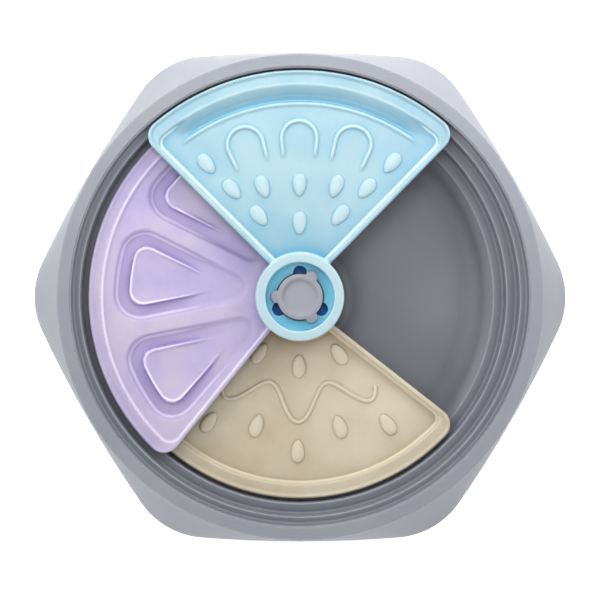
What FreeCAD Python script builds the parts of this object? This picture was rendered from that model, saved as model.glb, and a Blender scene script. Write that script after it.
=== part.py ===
import FreeCAD, Part
import math
import os
from FreeCAD import Matrix, Vector

# Rotating-cover puzzle feeder for a pet. A hexagonal base holds a round stepped bowl. Three sector-shaped
# covers turn about a centre post, each on its own ledge, and hide the food until they are pushed round.
# Millimetres. Origin on the table under the post's axis, +Z up, +X towards a corner of the hexagon.

# ---- driving dimensions ----
RIM_TOP = 52.0          # height of the bowl's flat rim above the table
PITCH = 8.0             # height from one cover to the next
WALL = 2.6              # wall of the base moulding
COVER_WALL = 1.8        # wall of a cover moulding
GAP = 0.3               # running clearance, sliding faces

HEX_APOTHEM = 142.8     # base outline, axis to the middle of a side
HEX_CORNER = 155.1      # base outline, axis to the tip of a rounded corner
CORNER_R = 46.8         # radius of the rounded corner
SKIRT_BOTTOM = 1.5      # lower edge of the skirt, the feet reach the table
RIM_OUTER = 137.4       # flat rim, outer radius
RIM_INNER = 129.8       # flat rim, inner radius
LEDGE_DROP = 6.0        # rim to the highest ledge
LEDGE_EDGES = (124.7, 117.7, 110.7)     # inner edge of each ledge, highest first
WALL_DRAFT = 1.1        # radial draft of each wall between two ledges
FLOOR_TOP = 6.0         # bowl's floor
FLOOR_EDGE = 103.0      # radius where the bowl's wall would meet its floor

HUB_R = 25.0            # hub of every cover, and the pedestal under them
HUB_BORE = 19.4         # hub's inner wall
HUB_FLOOR = 3.0         # thickness of the hub's floor
HUB_HOLE = 13.5         # round part of the hub's three-lobed hole
LOBE_AT, LOBE_R = 13.8, 3.8             # the hole's lobes
EAR_AT, EAR_R = 13.4, 3.4               # the knob's ears
LOBE_ANGLES = (90.0, 210.0, 330.0)
LOBE_SHIFTS = (0.0, 60.0, 0.0)          # turn of each cover's lobes from those angles
EAR_ANGLES = (60.0, 180.0, 300.0)
POST_R = 12.9
KNOB_R = 13.1
KNOB_TOP = 51.0

COVER_TOPS = (51.0, 43.0, 35.0)         # border of each cover, highest first
COVER_RADII = (128.3, 120.3, 115.2)
COVER_CENTRES = (90.3, 172.3, 269.2)    # direction of each cover's middle line, degrees
COVER_HALVES = (44.7, 58.7, 52.7)       # half of each cover's sector, degrees
SKIRT_INSETS = (2.0, 0.0, 0.0)          # skirt under the border, in from the border's edge
FLANGE = 7.8            # width of the border along the outer arc
LIP = 2.0               # raised lip at the border's outer edge
LIP_H = 0.8             # height of the lip over the rest of the border
SIDE_LIP = 2.4          # width of the border along a straight side, all of it lip
SIDE_SET = 0.75         # straight sides lie this far inside the radial line
CORNER = 9.8            # outer corners of a cover
TRAY_DEPTHS = (3.6, 1.8, 4.0)           # border down to the tray's floor
TOP_HUB = 54.0          # hub ring of the highest cover

FOOT_AT = 139.0         # feet, on the corner lines
FOOT_R = 8.0
FOOT_POCKET = 5.0       # top of the foot's pocket
BOSS_R = 10.5

SCREW_AT = 8.6          # post screws, circle radius
SCREW_R = 1.3
KNOB_SCREW_R = 2.0

CAP = 60.0              # a height above everything
PEDESTAL_TOP = COVER_TOPS[2] - PITCH

os.makedirs("parts", exist_ok=True)


# ---- helpers ----
def save(name, shape):
    """One STEP per piece, and its volume printed."""
    shape.exportStep("parts/" + name + ".step")
    print(f"{name:16s} valid={shape.isValid()} solids={len(shape.Solids)} volume={shape.Volume / 1000:.2f} cm3")


def polar(radius, degrees, z=0.0):
    turn = math.radians(degrees)
    return Vector(radius * math.cos(turn), radius * math.sin(turn), z)


def turned(shape, degrees):
    copy = shape.copy()
    copy.rotate(Vector(0, 0, 0), Vector(0, 0, 1), degrees)
    return copy


def rod(radius, z_low, z_high, at=Vector(0, 0, 0)):
    return Part.makeCylinder(radius, z_high - z_low, Vector(at.x, at.y, z_low))


def rounded(corners):
    """Closed wire through (point, radius) corners, each corner an arc of that radius, or sharp at radius 0."""
    count = len(corners)
    starts, ends, mids = [], [], []
    for i, (point, radius) in enumerate(corners):
        back = (corners[i - 1][0] - point).normalize()
        ahead = (corners[(i + 1) % count][0] - point).normalize()
        half = back.getAngle(ahead) / 2
        if radius == 0 or abs(half - math.pi / 2) < 1e-6:
            starts.append(point)
            ends.append(point)
            mids.append(None)
            continue
        reach = radius / math.tan(half)
        middle = (back + ahead).normalize()
        centre = point + middle * (radius / math.sin(half))
        starts.append(point + back * reach)
        ends.append(point + ahead * reach)
        mids.append(centre - middle * radius)
    edges = []
    for i in range(count):
        if mids[i] is not None:
            edges.append(Part.Arc(starts[i], mids[i], ends[i]).toShape())
        following = starts[(i + 1) % count]
        if ends[i].distanceToPoint(following) > 1e-6:
            edges.append(Part.LineSegment(ends[i], following).toShape())
    return Part.Wire(edges)


def spun(corners):
    """Solid of revolution about Z from (r, z, corner radius) triples."""
    wire = rounded([(Vector(r, 0, z), radius) for r, z, radius in corners])
    return Part.Face(wire).revolve(Vector(0, 0, 0), Vector(0, 0, 1), 360)


def prism(wire, z_low, z_high):
    face = Part.Face(wire)
    face.translate(Vector(0, 0, z_low))
    return face.extrude(Vector(0, 0, z_high - z_low))


def sector(radius, half, inset, corner, inner=0.0):
    """Outline about +X: outer arc, two straight sides inset from the radial lines, rounded outer corners.
    With inner, the point of the sector is cut off by an arc of that radius."""
    turn = math.radians(half)
    along, out = Vector(math.cos(turn), math.sin(turn), 0), Vector(-math.sin(turn), math.cos(turn), 0)
    reach = math.sqrt((radius - corner) ** 2 - (inset + corner) ** 2)
    centre = along * reach - out * (inset + corner)
    on_side = centre + out * corner
    on_arc = centre * (radius / (radius - corner))
    between = centre + (out + Vector(centre).normalize()).normalize() * corner
    tip = along * math.sqrt(max(inner ** 2 - inset ** 2, 0)) - out * inset
    if inner == 0:
        tip = Vector(inset / math.sin(turn), 0, 0)

    def mirror(p):
        return Vector(p.x, -p.y, 0)

    edges = [
        Part.LineSegment(tip, on_side).toShape(),
        Part.Arc(on_side, between, on_arc).toShape(),
        Part.Arc(on_arc, Vector(radius, 0, 0), mirror(on_arc)).toShape(),
        Part.Arc(mirror(on_arc), mirror(between), mirror(on_side)).toShape(),
        Part.LineSegment(mirror(on_side), mirror(tip)).toShape(),
    ]
    if inner:
        edges.append(Part.Arc(mirror(tip), Vector(inner, 0, 0), tip).toShape())
    return Part.Wire(edges)


def egg(length, wide, taper):
    """Seed outline about the origin: an ellipse along X that is fuller at its +X end by the taper."""
    points = []
    for i in range(20):
        turn = 2 * math.pi * i / 20
        side = wide / 2 * math.sin(turn) * (1 + taper * math.cos(turn))
        points.append(Vector(length / 2 * math.cos(turn), side, 0))
    curve = Part.BSplineCurve()
    curve.interpolate(Points=points, PeriodicFlag=True)
    return Part.Wire([curve.toShape()])


def hexagon(apothem, corner, corner_r, z):
    """Rounded hexagon with slightly bowed sides, and how far the normal swings over half a corner, degrees."""
    to_centre = corner - corner_r
    cos30 = math.cos(math.radians(30))
    side_r = (apothem ** 2 + to_centre ** 2 - 2 * apothem * to_centre * cos30 - corner_r ** 2) \
        / (2 * (apothem - to_centre * cos30 - corner_r))
    corner_centre = Vector(to_centre, 0, 0)
    side_centre = polar(apothem - side_r, 30)
    swing = math.degrees(math.atan2(corner_centre.y - side_centre.y, corner_centre.x - side_centre.x))
    edges = []
    for k in range(6):
        turn = 60.0 * k
        c_mid = polar(to_centre, turn)
        s_mid = polar(apothem - side_r, turn + 30)
        start = c_mid + polar(corner_r, turn - swing)
        end = c_mid + polar(corner_r, turn + swing)
        following = polar(to_centre, turn + 60) + polar(corner_r, turn + 60 - swing)
        edges.append(Part.Arc(start, polar(corner, turn), end).toShape())
        edges.append(Part.Arc(end, s_mid + polar(side_r, turn + 30), following).toShape())
    wire = Part.Wire(edges)
    wire.translate(Vector(0, 0, z))
    return wire, swing


def ring_wire(radius, swing, z):
    """Circle split where its normals match the hexagon's corner and side arcs."""
    edges = []
    for k in range(6):
        turn = 60.0 * k
        edges.append(Part.Arc(polar(radius, turn - swing, z), polar(radius, turn, z),
                              polar(radius, turn + swing, z)).toShape())
        edges.append(Part.Arc(polar(radius, turn + swing, z), polar(radius, turn + 30, z),
                              polar(radius, turn + 60 - swing, z)).toShape())
    return Part.Wire(edges)


def flare(inset, z_top):
    """Solid between the round rim and the hexagonal lower edge, inset from the outside."""
    low, swing = hexagon(HEX_APOTHEM - inset, HEX_CORNER - inset, CORNER_R - inset, SKIRT_BOTTOM)
    high = ring_wire(RIM_OUTER - inset, swing, z_top)
    return Part.makeLoft([low, high], True, True)


# ---- base: hexagonal skirt and stepped bowl, one moulding ----
def ledges():
    """(edge radius, height, foot radius of the wall above) of each ledge, highest first."""
    tops = (RIM_INNER,) + LEDGE_EDGES
    return [(edge, RIM_TOP - LEDGE_DROP - PITCH * i, tops[i] - WALL_DRAFT) for i, edge in enumerate(LEDGE_EDGES)]


def bowl_line(drop):
    """Upper face of the bowl from the pedestal out to the rim, or the same line one wall lower."""
    edge_r, foot_r, floor_r = 0.9, 1.6, 12.0
    line = [
        (HUB_R - drop, PEDESTAL_TOP - drop, 1.0),
        (HUB_R + 1.5 - drop, FLOOR_TOP - drop, 5.0),
        (FLOOR_EDGE + drop * 0.8, FLOOR_TOP - drop, floor_r),
    ]
    for edge, height, foot in reversed(ledges()):
        line.append((edge + drop * 0.9, height - drop, edge_r))
        line.append((foot + drop, height - drop, foot_r))
    return line


def base_bowl():
    rim_round = 0.6
    shoulder = RIM_TOP - rim_round
    outside = flare(0, shoulder)
    cap = spun([(0, shoulder - 2, 0), (RIM_OUTER - 1.5, shoulder - 2, 0), (RIM_OUTER, shoulder, 0),
                (RIM_OUTER, RIM_TOP, rim_round), (0, RIM_TOP, 0)])
    solid = outside.fuse(cap)

    void = spun([(0, PEDESTAL_TOP, 0)] + bowl_line(0)
                + [(RIM_INNER, RIM_TOP, 0), (RIM_INNER, CAP, 0), (0, CAP, 0)])
    # the rim's inner edge is rounded by a ring that widens the void's mouth
    lip = 0.9
    mouth = spun([(RIM_INNER - 3, RIM_TOP - lip, 0), (RIM_INNER, RIM_TOP - lip, 0), (RIM_INNER + lip, RIM_TOP, 0),
                  (RIM_INNER + lip, CAP, 0), (RIM_INNER - 3, CAP, 0)])
    solid = solid.cut(void).cut(mouth)

    above = spun([(0, PEDESTAL_TOP - WALL, 0)] + bowl_line(WALL)
                 + [(RIM_INNER + WALL, RIM_TOP - WALL, 1.0), (RIM_OUTER + 40, RIM_TOP - WALL, 0),
                    (RIM_OUTER + 40, CAP, 0), (0, CAP, 0)])
    cavity = flare(WALL, shoulder).cut(above)
    shell = solid.cut(cavity)

    rib_t, rib_low = 2.0, 14.0
    for k in range(6):
        for turn, low in ((60.0 * k, rib_low), (60.0 * k + 30, rib_low + 10)):
            rib = Part.makeBox(60, rib_t, RIM_TOP - 2 - low, Vector(100, -rib_t / 2, low))
            shell = shell.fuse(turned(rib, turn).common(solid))
        boss = rod(BOSS_R, SKIRT_BOTTOM, rib_low + 4, Vector(FOOT_AT, 0, 0))
        shell = shell.fuse(turned(boss, 60.0 * k).common(solid))
    for k in range(6):
        pocket = rod(FOOT_R + 0.1, 0, FOOT_POCKET, polar(FOOT_AT, 60.0 * k))
        shell = shell.cut(pocket)

    # seat for the post: a hexagonal recess, a centre hole and three screw holes
    shell = shell.cut(prism(post_key(GAP / 2), PEDESTAL_TOP - KEY_DEPTH, PEDESTAL_TOP + 1))
    shell = shell.cut(rod(POST_BORE, 0, PEDESTAL_TOP + 1))
    for turn in EAR_ANGLES:
        shell = shell.cut(rod(SCREW_R + 0.3, 0, PEDESTAL_TOP, polar(SCREW_AT, turn)))
    return shell.removeSplitter()


# ---- centre post and its screws ----
KEY_DEPTH = 1.2
KEY_FLAT = 11.0         # axis to a flat of the post's hexagonal key
POST_BORE = 5.0
POST_TOP = COVER_TOPS[0] - PITCH + GAP + HUB_FLOOR + 0.3
POST_WEB = 3.0


def post_key(grow):
    """Hexagonal key of the post, point towards +X."""
    flat = KEY_FLAT + grow
    tip = flat / math.cos(math.radians(30))
    return rounded([(polar(tip, 60.0 * k), 1.5) for k in range(6)])


def centre_post():
    body = rod(POST_R, PEDESTAL_TOP, POST_TOP)
    body = body.fuse(prism(post_key(0), PEDESTAL_TOP - KEY_DEPTH, PEDESTAL_TOP))
    body = body.cut(rod(POST_BORE, 0, POST_TOP - POST_WEB))
    body = body.cut(rod(KNOB_SCREW_R + 0.2, 0, CAP))
    for turn in EAR_ANGLES:
        body = body.cut(rod(SCREW_R, 0, PEDESTAL_TOP + 8, polar(SCREW_AT, turn)))
    return body.removeSplitter()


def pan_screw(radius, head_r, head_h, z_seat, z_tip):
    """Screw pointing up: its head's top face at z_seat, its point at z_tip, with a cross recess."""
    head = rod(head_r, z_seat - head_h, z_seat)
    head = head.makeFillet(head_h * 0.4, [e for e in head.Edges if abs(e.CenterOfMass.z - (z_seat - head_h)) < 1e-6])
    shank = rod(radius, z_seat, z_tip - radius)
    point = Part.makeCone(radius, radius * 0.3, radius, Vector(0, 0, z_tip - radius))
    screw = head.fuse(shank).fuse(point)
    slot_w, slot_l = head_r * 0.3, head_r * 1.2
    for size in ((slot_l, slot_w), (slot_w, slot_l)):
        slot = Part.makeBox(size[0], size[1], head_h * 0.6,
                            Vector(-size[0] / 2, -size[1] / 2, z_seat - head_h))
        screw = screw.cut(slot)
    return screw.removeSplitter()


def post_screw(number):
    screw = pan_screw(SCREW_R, 2.7, 1.8, PEDESTAL_TOP - WALL, PEDESTAL_TOP + 7)
    screw.translate(polar(SCREW_AT, EAR_ANGLES[number]))
    return screw


# ---- lock knob: disc with three ears, held by a screw through the post ----
WASHER_T = 0.8
KNOB_SEAT = POST_TOP + 0.1


def button(radius, z_low, z_high, edge, at=Vector(0, 0, 0)):
    """Upright cylinder with a rounded top edge."""
    shape = spun([(0, z_low, 0), (radius, z_low, 0), (radius, z_high, edge), (0, z_high, 0)])
    shape.translate(at)
    return shape


def lock_knob():
    ear_low = COVER_TOPS[1] + GAP + HUB_FLOOR + 0.5
    knob = button(KNOB_R, KNOB_SEAT, KNOB_TOP, 0.9)
    for turn in EAR_ANGLES:
        knob = knob.fuse(button(EAR_R, ear_low, KNOB_TOP - 0.6, 0.8, polar(EAR_AT, turn)))
    dish = spun([(0, KNOB_TOP - 1.4, 0), (9.0, KNOB_TOP - 1.4, 0.6), (10.2, KNOB_TOP + 1, 0), (0, KNOB_TOP + 1, 0)])
    knob = knob.cut(dish)
    return knob.cut(rod(KNOB_SCREW_R, 0, KNOB_TOP - 2.6))


def knob_screw():
    seat = POST_TOP - POST_WEB - 0.1 - WASHER_T
    return pan_screw(KNOB_SCREW_R, 3.8, 2.6, seat, KNOB_TOP - 2.7)


def knob_washer():
    top = POST_TOP - POST_WEB - 0.1
    return rod(4.6, top - WASHER_T, top).cut(rod(KNOB_SCREW_R, 0, CAP))


# ---- covers ----
def blank_cover(level):
    """Tray with its border and hub, about +X. The border rides on the ledge and the tray hangs inside it."""
    top, radius, half = COVER_TOPS[level], COVER_RADII[level], COVER_HALVES[level]
    ledge = RIM_TOP - LEDGE_DROP - PITCH * level
    tray_r = radius - FLANGE
    tray_corner = CORNER - 3
    floor = top - TRAY_DEPTHS[level]
    hub_low = top - PITCH + GAP
    hub_top = TOP_HUB if level == 0 else top
    side = SIDE_SET + SIDE_LIP

    inset = SKIRT_INSETS[level]
    border = prism(sector(radius - inset, half, SIDE_SET, CORNER - inset), ledge + GAP, top)
    border = border.fuse(prism(sector(radius, half, SIDE_SET, CORNER), top - LIP_H - COVER_WALL, top))
    tub = prism(sector(tray_r + COVER_WALL, half, side - COVER_WALL, tray_corner + COVER_WALL),
                floor - COVER_WALL, top - 1)
    flange = prism(sector(radius - LIP, half, side, CORNER - LIP, HUB_R), top - LIP_H, CAP)
    hollow = prism(sector(tray_r, half, side, tray_corner, HUB_R), floor, CAP)
    groove = prism(sector(radius - inset - COVER_WALL, half, side, CORNER - inset - COVER_WALL),
                   0, top - LIP_H - COVER_WALL)
    groove = groove.cut(rod(tray_r + COVER_WALL, 0, CAP))
    cover = border.fuse(tub).cut(flange).cut(hollow).cut(groove)
    if floor - COVER_WALL > ledge + GAP:
        cover = cover.cut(prism(sector(tray_r, half, side, tray_corner, HUB_R), 0, floor - COVER_WALL))

    hub = rod(HUB_R, hub_low, hub_top)
    bore = rod(HUB_BORE, hub_low + HUB_FLOOR, CAP)
    cover = cover.cut(rod(HUB_R - 1, 0, CAP)).fuse(hub).cut(bore).cut(rod(HUB_HOLE, 0, CAP))
    for turn in LOBE_ANGLES:
        lobe_turn = turn + LOBE_SHIFTS[level] - COVER_CENTRES[level]
        cover = cover.cut(rod(LOBE_R, 0, CAP, polar(LOBE_AT, lobe_turn)))
    return cover, floor


def seed_at(radius, degrees, lean, size, floor, height):
    """A raised seed at polar (radius, degrees), pointed end towards the hub, leaning by lean degrees."""
    seed = prism(egg(*size), floor - 0.5, floor + height)
    seed.rotate(Vector(0, 0, 0), Vector(0, 0, 1), degrees + lean)
    seed.translate(polar(radius, degrees))
    return seed


def arch_at(degrees, centre, floor):
    """Raised open arch: two radial legs joined by a round end at radius centre that faces outwards."""
    half, leg_end, width, height = math.radians(6.4), 79.0, 2.0, 1.2
    bow_r = centre * math.sin(half)
    run = (centre * math.cos(half) - leg_end) / 2
    arch = rod(bow_r + width / 2, floor - 0.5, floor + height, Vector(centre, 0, 0))
    arch = arch.cut(rod(bow_r - width / 2, 0, CAP, Vector(centre, 0, 0)))
    arch = arch.common(Part.makeBox(40, 40, CAP, Vector(centre * math.cos(half) ** 2, -20, 0)))
    for side in (1, -1):
        leg = Part.makeBox(2 * run, width, height + 0.5, Vector(leg_end, -width / 2, floor - 0.5))
        arch = arch.fuse(turned(leg, side * math.degrees(half)))
    return turned(arch, degrees)


RIND_R = 110.6          # edge of the melon's flesh
RIND_HALF = 38.3        # half of the arc that the rind's moat covers, degrees
MOAT_DEPTH = 1.6


def top_cover():
    """Melon slice: a sloping moat for the rind, three arches and rows of seeds."""
    cover, floor = blank_cover(0)
    step, edge = COVER_TOPS[0] - LIP_H, COVER_RADII[0] - FLANGE
    wall = spun([(RIND_R - 1.6, floor - MOAT_DEPTH - COVER_WALL, 0), (edge + 1, floor - MOAT_DEPTH - COVER_WALL, 0),
                 (edge + 1, step, 0), (RIND_R - 1.6, floor, 0)])
    moat = spun([(RIND_R, floor + 0.01, 0), (RIND_R + 0.6, floor - MOAT_DEPTH, 0.5),
                 (RIND_R + 2.4, floor - MOAT_DEPTH, 1.0), (edge, step, 0), (edge, CAP, 0), (RIND_R, CAP, 0)])
    slope = spun([(RIND_R + 2.4, floor - 0.01, 0), (edge + 0.5, floor - 0.01, 0), (edge + 0.5, step, 0)])
    inside = prism(sector(edge + 1, COVER_HALVES[0], SIDE_SET + SIDE_LIP - COVER_WALL, CORNER - 2), 0, CAP)
    span = prism(sector(CAP * 3, RIND_HALF, 0, 1.0), 0, CAP)
    cover = cover.fuse(slope.common(inside)).fuse(wall.common(span).common(inside)).cut(moat.common(span))
    for turn, centre in ((-19.5, 91.4), (0.0, 89.8), (19.5, 91.4)):
        cover = cover.fuse(arch_at(turn, centre, floor))
    size, height = (12.8, 7.4, 0.2), 1.2
    rows = [(41.8, 0, 0), (63.5, 0, 0)]
    for radius, turn, lean in ((51.5, 26.5, 12.0), (65.9, 18.4, 2.5), (72.1, 32.0, 9.0), (92.0, 34.8, 4.0)):
        rows += [(radius, turn, lean), (radius, -turn, -lean)]
    for radius, turn, lean in rows:
        cover = cover.fuse(seed_at(radius, turn, lean, size, floor, height))
    return turned(cover.removeSplitter(), COVER_CENTRES[0])


SEGMENT_TURN = 37.8     # from one citrus segment to the next
SEGMENT_RIB = 3.9       # half of the rib between two segments


def segment(inset, corner_out, corner_in, r_in, r_out):
    """Outline of one citrus segment about +X, parallel to its ribs, inset from the pocket's edge."""
    half = math.radians(SEGMENT_TURN / 2)
    start = (SEGMENT_RIB + inset) / math.sin(half)
    slope = math.tan(half)
    corners = [
        (Vector(r_in + inset, -(r_in + inset - start) * slope, 0), corner_in),
        (Vector(r_out - inset, -(r_out - inset - start) * slope, 0), corner_out),
        (Vector(r_out - inset, (r_out - inset - start) * slope, 0), corner_out),
        (Vector(r_in + inset, (r_in + inset - start) * slope, 0), corner_in),
    ]
    return rounded(corners)


def middle_cover():
    """Citrus slice: three segment-shaped pockets, each with a tongue that rises outwards."""
    cover, surface = blank_cover(1)
    pocket_floor = COVER_TOPS[1] - 5.2
    for turn in (-SEGMENT_TURN, 0.0, SEGMENT_TURN):
        tub = prism(segment(-COVER_WALL, 17.5, 5.5, 30.0, 105.5), pocket_floor - COVER_WALL, surface)
        hollow = prism(segment(0, 16.5, 4.6, 30.0, 105.5), pocket_floor, CAP)
        tongue = prism(segment(8.2, 9.4, 0.6, 44.0, 105.5), pocket_floor - 0.5, pocket_floor + 3.2)
        slope = Part.makeBox(70, 80, 20, Vector(0, -40, 0))
        slope.rotate(Vector(0, 0, 0), Vector(0, 1, 0), -math.degrees(math.atan2(3.2, 48.0)))
        slope.translate(Vector(50.0, 0, pocket_floor))
        tongue = tongue.cut(slope)
        cover = cover.fuse(turned(tub, turn))
        cover = cover.cut(turned(hollow, turn))
        cover = cover.fuse(turned(tongue, turn))
    return turned(cover.removeSplitter(), COVER_CENTRES[1])


def wave_ridge(floor):
    """Raised line that waves between the rows of seeds, from a formula in polar coordinates."""
    mean_r, swing_r, sharp_r, period, half_span, width, height = 60.8, 10.1, 0.9, 35.7, 40.6, 2.2, 1.0

    def line(degrees):
        phase = 2 * math.pi * degrees / period
        return polar(mean_r + swing_r * math.cos(phase) + sharp_r * math.cos(2 * phase), degrees)

    steps = 40
    left, right = [], []
    for i in range(steps + 1):
        turn = -half_span + 2 * half_span * i / steps
        across = (line(turn + 0.05) - line(turn - 0.05)).normalize()
        normal = Vector(-across.y, across.x, 0)
        left.append(line(turn) + normal * (width / 2))
        right.append(line(turn) - normal * (width / 2))
    side_a, side_b = Part.BSplineCurve(), Part.BSplineCurve()
    side_a.interpolate(left)
    side_b.interpolate(right)
    wire = Part.Wire([side_a.toShape(), Part.LineSegment(left[-1], right[-1]).toShape(),
                      side_b.toShape(), Part.LineSegment(right[0], left[0]).toShape()])
    return prism(wire, floor - 0.5, floor + height)


def bottom_cover():
    """Berry slice: a waving line between seeds."""
    cover, floor = blank_cover(2)
    cover = cover.fuse(wave_ridge(floor))
    size, height = (12.9, 7.1, 0.16), 1.2
    seeds = [(39.8, 0.0), (88.5, 0.0)]
    for radius, turn in ((39.8, 35.0), (78.0, 17.8), (88.8, 35.3)):
        seeds += [(radius, turn), (radius, -turn)]
    for radius, turn in seeds:
        cover = cover.fuse(seed_at(radius, turn, 0.0, size, floor, height))
    return turned(cover.removeSplitter(), COVER_CENTRES[2])


# ---- feet ----
def foot(k):
    """Soft plug with a wide chamfered tread, pressed into the corner boss."""
    tread, chamfer = 0.8, 0.6
    plug = spun([(0, 0, 0), (FOOT_R - chamfer, 0, 0), (FOOT_R, tread, 0), (FOOT_R, FOOT_POCKET - 0.2, 0.8),
                 (0, FOOT_POCKET - 0.2, 0)])
    plug.translate(polar(FOOT_AT, 60.0 * k))
    return plug


save("base_bowl", base_bowl())
save("centre_post", centre_post())
for number in range(3):
    save(f"post_screw_{number + 1}", post_screw(number))
save("lock_knob", lock_knob())
save("knob_screw", knob_screw())
save("knob_washer", knob_washer())
save("top_cover", top_cover())
save("middle_cover", middle_cover())
save("bottom_cover", bottom_cover())
for number in range(6):
    save(f"foot_{number + 1}", foot(number))
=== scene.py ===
import math

import bpy
import numpy as np
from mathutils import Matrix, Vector, kdtree
from mathutils.geometry import delaunay_2d_cdt


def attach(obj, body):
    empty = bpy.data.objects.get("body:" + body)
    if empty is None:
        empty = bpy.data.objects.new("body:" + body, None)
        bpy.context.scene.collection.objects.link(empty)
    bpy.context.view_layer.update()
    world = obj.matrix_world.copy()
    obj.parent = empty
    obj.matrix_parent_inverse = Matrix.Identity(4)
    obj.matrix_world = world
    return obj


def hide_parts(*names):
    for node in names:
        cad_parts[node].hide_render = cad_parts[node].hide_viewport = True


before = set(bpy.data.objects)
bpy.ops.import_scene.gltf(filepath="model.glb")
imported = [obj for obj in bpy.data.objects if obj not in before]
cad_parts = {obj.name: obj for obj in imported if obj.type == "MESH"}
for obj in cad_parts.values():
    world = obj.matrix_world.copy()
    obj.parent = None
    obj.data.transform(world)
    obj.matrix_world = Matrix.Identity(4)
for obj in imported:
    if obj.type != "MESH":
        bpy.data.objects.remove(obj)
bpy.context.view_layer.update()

TAU = 2 * math.pi

# Shapes below are worked out in millimetres and stored in metres.

# ---- sizes shared with the CAD part ----
RIM_TOP = 52.0          # height of the bowl's flat rim
LEDGE_DROP = 6.0        # rim to the highest ledge
PITCH = 8.0             # height from one cover to the next
GAP = 0.3               # running clearance
WALL = 1.8              # wall of a cover moulding

HUB_R = 25.0            # hub of every cover
HUB_BORE = 19.4         # hub's inner wall
HUB_FLOOR = 3.0         # thickness of the hub's floor
HUB_HOLE = 13.5         # round part of the hub's three-lobed hole
LOBE_AT, LOBE_R = 13.8, 3.8             # the hole's lobes
EAR_AT, EAR_R = 13.4, 3.4               # the knob's ears
LOBE_ANGLES = (90.0, 210.0, 330.0)
LOBE_SHIFTS = (0.0, 60.0, 0.0)          # turn of each cover's lobes from those angles
EAR_ANGLES = (60.0, 180.0, 300.0)
KNOB_R, KNOB_TOP, KNOB_LOW = 13.1, 51.0, 46.7
TOP_HUB = 54.0          # hub ring of the highest cover

COVER_TOPS = (51.0, 43.0, 35.0)         # border of each cover, highest first
COVER_RADII = (128.3, 120.3, 115.2)
COVER_CENTRES = (90.3, 172.3, 269.2)    # direction of each cover's middle line, degrees
COVER_HALVES = (44.7, 58.7, 52.7)       # half of each cover's sector, degrees
SKIRT_INSETS = (2.0, 0.0, 0.0)          # skirt under the border, in from the border's edge
TRAY_DEPTHS = (3.6, 1.8, 4.0)           # border down to the tray's floor
FLANGE = 7.8            # width of the border along the outer arc
LIP, LIP_H = 2.0, 0.8   # raised lip at the border's outer edge, its width and height
SIDE_LIP = 2.4          # width of the border along a straight side, all of it lip
SIDE_SET = 0.75         # straight sides lie this far inside the radial line
CORNER = 9.8            # outer corners of a cover
RIND_R, RIND_HALF = 110.6, 38.3         # the melon's rind, radius and half angle
MOAT_DEPTH = 1.6        # moat behind the rind, below the tray's floor

QUARTER = [step * math.pi / 12 for step in range(7)]        # angles along a quarter round


# ---- small shape functions, on arrays ----
def ease(t):
    """0 below 0, 1 above 1, smooth between."""
    t = np.clip(t, 0, 1)
    return t * t * (3 - 2 * t)


def round_edge(distance, radius):
    """Drop of a quarter-round edge at this distance inside it."""
    t = np.clip(distance / radius, 0, 1)
    return radius * (1 - np.sqrt(np.clip(1 - (1 - t) ** 2, 0, 1)))


def rise(t):
    """0 below 0, 1 above 1, steep at its foot and crowned above."""
    t = np.clip(t, 0, 1)
    return (1 - (1 - t) ** 2.6) ** 0.7


def bead(distance, half_width):
    """Rounded ridge across a line, 1 on the line and 0 at half_width."""
    t = np.clip(np.abs(distance) / half_width, 0, 1)
    return (1 - t * t) ** 1.2


def sector_sd(x, y, radius, half, inset, corner):
    """Signed distance to a sector about +X with rounded outer corners, negative inside."""
    turn = math.radians(half)
    a = np.hypot(x, y) - (radius - corner)
    b = np.abs(y) * math.cos(turn) - x * math.sin(turn) + inset + corner
    both = (a > 0) & (b > 0)
    return np.where(both, np.hypot(a, b), np.maximum(a, b)) - corner


def egg_sd(x, y, length, wide, taper):
    """Signed distance to a seed along X, fuller towards +X, close to its edge."""
    a, b = length / 2, wide / 2
    side = y / np.clip(1 + taper * x / a, 0.3, None)
    reach = np.hypot(x / a, side / b) + 1e-6
    slope = np.hypot(x / (a * a), side / (b * b)) / reach + 1e-6
    return (reach - 1) / slope


def local(x, y, radius, degrees, lean=0.0):
    """Coordinates about a point at polar (radius, degrees), its X pointing outwards and turned by lean."""
    at, turn = math.radians(degrees), math.radians(degrees + lean)
    dx, dy = x - radius * math.cos(at), y - radius * math.sin(at)
    return dx * math.cos(turn) + dy * math.sin(turn), -dx * math.sin(turn) + dy * math.cos(turn)


# ---- loops of points ----
def arc(radius, start, end, step):
    """Points along an arc about the origin, step apart, from start to end degrees."""
    count = max(3, int(abs(math.radians(end - start)) * radius / step))
    turn = np.radians(np.linspace(start, end, count))
    return np.stack([radius * np.cos(turn), radius * np.sin(turn)], 1)


def sector_loop(radius, half, inset, corner, inner, step):
    """Closed outline of a sector about +X, its point cut off at radius inner."""
    turn = math.radians(half)
    along = np.array([math.cos(turn), math.sin(turn)])
    out = np.array([-math.sin(turn), math.cos(turn)])
    reach = math.sqrt((radius - corner) ** 2 - (inset + corner) ** 2)
    centre = along * reach - out * (inset + corner)
    lean = math.degrees(math.atan2(centre[1], centre[0]))
    start = along * math.sqrt(inner ** 2 - inset ** 2) - out * inset
    end = centre + out * corner
    length = np.linalg.norm(end - start)
    side = start + (end - start) * np.linspace(0, 1, max(3, int(length / step)))[:, None]
    bend = centre + arc(corner, half + 90, lean, min(step, corner * 0.22))
    half_arc = arc(radius, lean, 0, step)
    upper = np.concatenate([side, bend[1:], half_arc[1:]])
    lower = upper[::-1][1:] * [1, -1]
    tip = math.degrees(math.atan2(start[1], start[0]))
    inside = arc(inner, -tip, tip, step)[1:-1]
    return np.concatenate([upper, lower, inside])


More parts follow.
